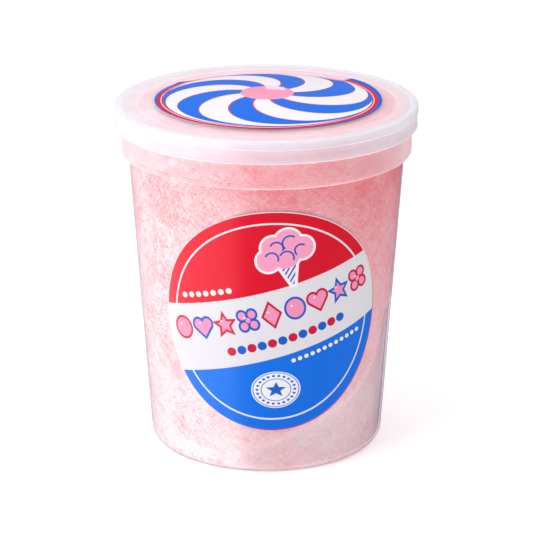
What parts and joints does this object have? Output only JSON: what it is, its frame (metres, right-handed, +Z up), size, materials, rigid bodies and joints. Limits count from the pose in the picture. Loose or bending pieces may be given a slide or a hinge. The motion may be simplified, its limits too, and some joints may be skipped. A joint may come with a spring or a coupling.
{
  "type": "cotton candy",
  "caption": "Round clear tub filled with pink cotton candy, closed by a milky push-fit lid, with a round sticker on its side and another on its lid.",
  "frame": {"origin": "centre of the tub's foot ring, on the surface it stands on", "axes": "+Z up along the tub's axis, -Y towards the side sticker, +X to the right of someone facing the sticker"},
  "size_m": [0.117, 0.117, 0.1399],
  "materials": {
    "tub_plastic": "clear, glossy",
    "lid_plastic": "milky, translucent satin",
    "candy_floss": "fine matte spun-sugar fibre",
    "side_sticker": "satin printed vinyl",
    "lid_sticker": "satin printed vinyl"
  },
  "bodies": {
    "root": {"tub": "tub_plastic", "lid": "lid_plastic", "cotton_candy": "candy_floss", "side_label": "side_sticker", "lid_label": "lid_sticker"}
  },
  "joints": []
}
